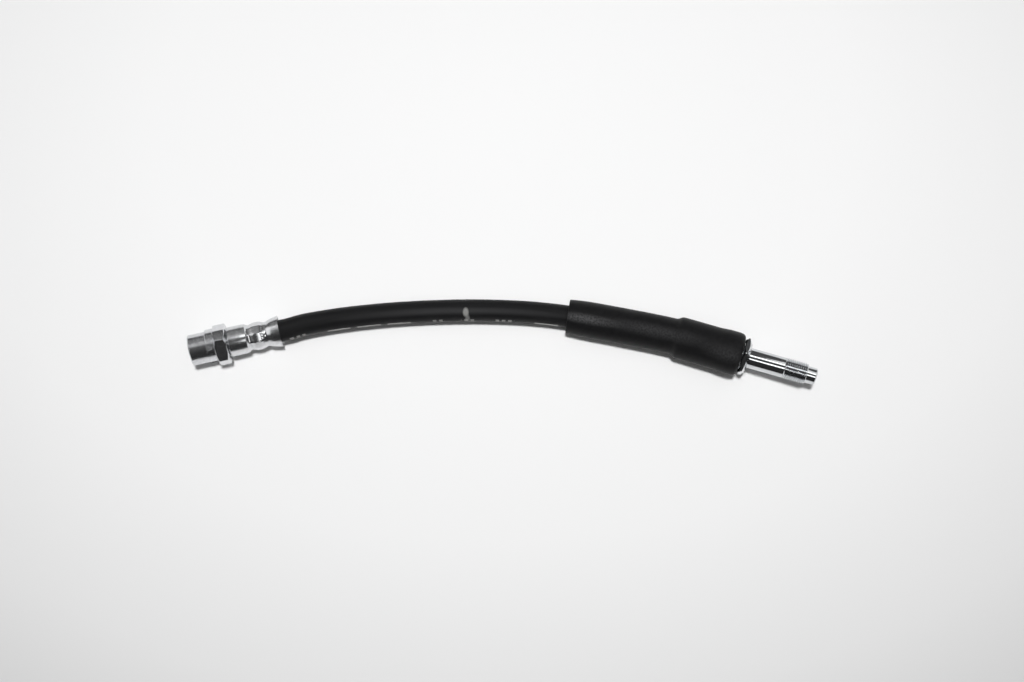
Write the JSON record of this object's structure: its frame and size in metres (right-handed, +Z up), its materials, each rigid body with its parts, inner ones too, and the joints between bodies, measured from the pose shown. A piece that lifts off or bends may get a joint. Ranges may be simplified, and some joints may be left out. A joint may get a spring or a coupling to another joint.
{
  "type": "brake hose",
  "caption": "Brake hose: thick-walled rubber hose with a crimped threaded socket fitting at one end and a crimped threaded plug fitting under a rubber sleeve at the other.",
  "frame": {"origin": "middle of the footprint, on the surface that the hose lies on", "axes": "+X along the hose from the socket end to the plug end, +Y towards the outside of its bend, +Z up"},
  "size_m": [0.2854, 0.04, 0.0209],
  "materials": {
    "hose_rubber": "smooth extruded black rubber, slightly dusty, with pale line print",
    "sleeve_rubber": "moulded black rubber, matt and scuffed",
    "zinc_plated_steel": "zinc plated over a turned surface, satin, lightly speckled",
    "crimped_steel": "bright zinc plated sheet steel, pressed smooth by the crimping dies",
    "bright_steel": "bright zinc plated over a smooth turned surface"
  },
  "bodies": {
    "root": {"hose": "hose_rubber", "protective_sleeve": "sleeve_rubber", "socket_end_body": "zinc_plated_steel", "socket_end_ferrule": "crimped_steel", "plug_end_body": "bright_steel", "plug_end_ferrule": "crimped_steel"}
  },
  "joints": []
}
